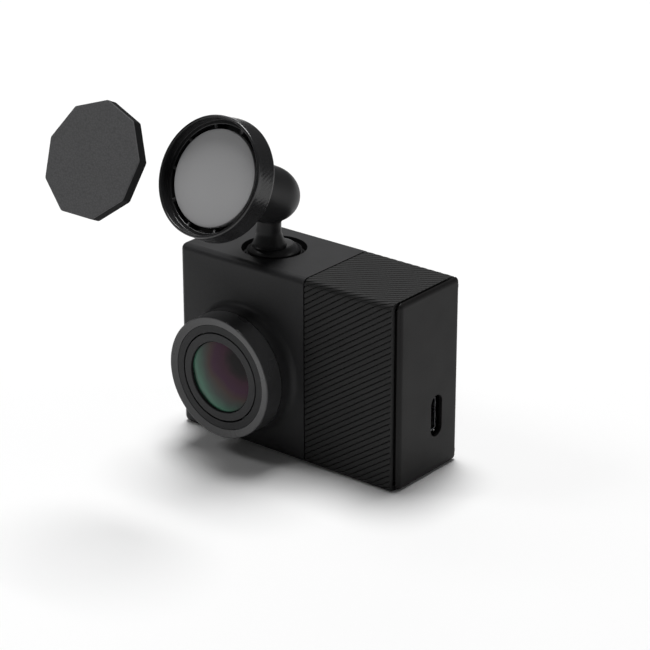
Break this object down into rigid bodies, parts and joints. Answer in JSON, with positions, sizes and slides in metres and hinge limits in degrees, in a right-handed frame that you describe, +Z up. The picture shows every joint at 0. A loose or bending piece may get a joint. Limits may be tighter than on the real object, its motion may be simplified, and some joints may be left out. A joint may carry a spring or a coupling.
{
  "type": "dash camera",
  "caption": "Compact box-shaped dash camera with a wide lens on one side, a ridged wrap on the other, and a magnetic ball-head windscreen mount.",
  "frame": {"origin": "middle of the flat bottom face of the housing", "axes": "+Z up, the lens looks along -Y, +X towards the end cap with the power socket"},
  "size_m": [0.0562, 0.0685, 0.084],
  "materials": {
    "smooth_shell": "fine matt moulded ABS",
    "textured_shell": "matt plastic with fine diagonal ridges",
    "end_cap_shell": "fine matt moulded ABS",
    "rear_panel": "fine matt moulded ABS",
    "screen_glass": "polished cover glass over a black mask",
    "display_glass": "glass panel",
    "pressed_steel": "pressed and plated sheet",
    "light_lens": "clear moulded lens",
    "circuit_board": "green solder mask",
    "inner_plastic": "moulded nylon",
    "magnet_plate": "nickel plating",
    "barrel_coat": "satin moulding",
    "face_ring": "satin moulding",
    "inner_ring": "satin moulding",
    "coated_glass": "coated lens glass",
    "filter_glass": "coated filter glass",
    "battery_foil": "laminated foil",
    "port_steel": "drawn and plated shell",
    "card_plastic": "moulded card",
    "polished_steel": "polished and plated steel",
    "screw_steel": "black oxide steel",
    "arm_plastic": "fine matt moulded nylon",
    "head_plastic": "matt moulded nylon with a knurled side",
    "disc_plate": "flat matt disc",
    "pad_foam": "fine-grained acrylic foam",
    "key_rubber": "matt silicone keys"
  },
  "bodies": {
    "camera_body": {"front_housing": "smooth_shell", "textured_wrap": "textured_shell", "end_cap": "end_cap_shell", "rear_cover": "rear_panel", "display_window": "screen_glass", "display_panel": "display_glass", "display_frame": "pressed_steel", "status_light": "light_lens", "key_board": "circuit_board", "mount_socket": "inner_plastic", "socket_magnet": "magnet_plate", "main_board": "circuit_board", "board_shield": "pressed_steel", "lens_barrel": "barrel_coat", "lens_face_ring": "face_ring", "lens_inner_ring": "inner_ring", "front_element": "coated_glass", "lens_tube": "inner_plastic", "middle_element": "coated_glass", "rear_element": "coated_glass", "element_spacer": "inner_plastic", "lens_holder": "inner_plastic", "infrared_filter": "filter_glass", "image_sensor": "display_glass", "sensor_board": "circuit_board", "battery": "battery_foil", "battery_tray": "inner_plastic", "speaker": "inner_plastic", "microphone": "pressed_steel", "port_shell": "port_steel", "port_tongue": "inner_plastic", "card_socket": "pressed_steel", "key_switch_1": "pressed_steel", "board_screw_1": "screw_steel", "key_switch_2": "pressed_steel", "board_screw_2": "screw_steel", "key_switch_3": "pressed_steel", "board_screw_3": "screw_steel", "key_switch_4": "pressed_steel", "board_screw_4": "screw_steel"},
    "key_1": {"key_1": "key_rubber"},
    "key_2": {"key_2": "key_rubber"},
    "key_3": {"key_3": "key_rubber"},
    "key_4": {"key_4": "key_rubber"},
    "card": {"memory_card": "card_plastic"},
    "foot": {"foot_magnet": "magnet_plate"},
    "arm": {"foot_dome": "polished_steel", "mount_arm": "arm_plastic", "arm_screw": "screw_steel", "socket_liner": "inner_plastic", "friction_spring": "pressed_steel", "socket_collar": "arm_plastic"},
    "ball": {"head_ball": "polished_steel"},
    "stem": {"head_stem": "polished_steel"},
    "head": {"head_cup": "head_plastic", "head_disc": "disc_plate", "head_screw": "screw_steel"},
    "pad": {"adhesive_pad": "pad_foam"}
  },
  "joints": [
    {"name": "key_1_press", "type": "slide", "parent": "camera_body", "child": "key_1", "axis": [0, -1, 0], "range_m": [0, 0.00035], "stiffness_N_per_m": 600},
    {"name": "key_2_press", "type": "slide", "parent": "camera_body", "child": "key_2", "axis": [0, -1, 0], "range_m": [0, 0.00035], "stiffness_N_per_m": 600},
    {"name": "key_3_press", "type": "slide", "parent": "camera_body", "child": "key_3", "axis": [0, -1, 0], "range_m": [0, 0.00035], "stiffness_N_per_m": 600},
    {"name": "key_4_press", "type": "slide", "parent": "camera_body", "child": "key_4", "axis": [0, -1, 0], "range_m": [0, 0.00035], "stiffness_N_per_m": 600},
    {"name": "card_slide", "type": "slide", "parent": "camera_body", "child": "card", "axis": [-1, 0, 0], "range_m": [0, 0.014]},
    {"name": "foot_lift", "type": "slide", "parent": "camera_body", "child": "foot", "axis": [0, 0, 1], "range_m": [0, 0.012]},
    {"name": "arm_swivel", "type": "hinge", "parent": "foot", "child": "arm", "pos_m": [-0.0111, -0.0004, 0.0405], "axis": [0, 0, 1], "continuous": true},
    {"name": "head_pan", "type": "hinge", "parent": "arm", "child": "ball", "pos_m": [-0.0111, -0.0087, 0.05574], "axis": [0, 0.4321, 0.9018], "range_deg": [-14, 14]},
    {"name": "head_tilt", "type": "hinge", "parent": "ball", "child": "stem", "pos_m": [-0.0111, -0.0087, 0.05574], "axis": [1, 0, 0], "range_deg": [-14, 14]},
    {"name": "head_turn", "type": "hinge", "parent": "stem", "child": "head", "pos_m": [-0.0111, -0.0087, 0.05574], "axis": [0, -0.9018, 0.4321], "continuous": true},
    {"name": "pad_seat", "type": "slide", "parent": "head", "child": "pad", "axis": [0, 0.9352, -0.3541], "range_m": [0, 0.03421]}
  ]
}
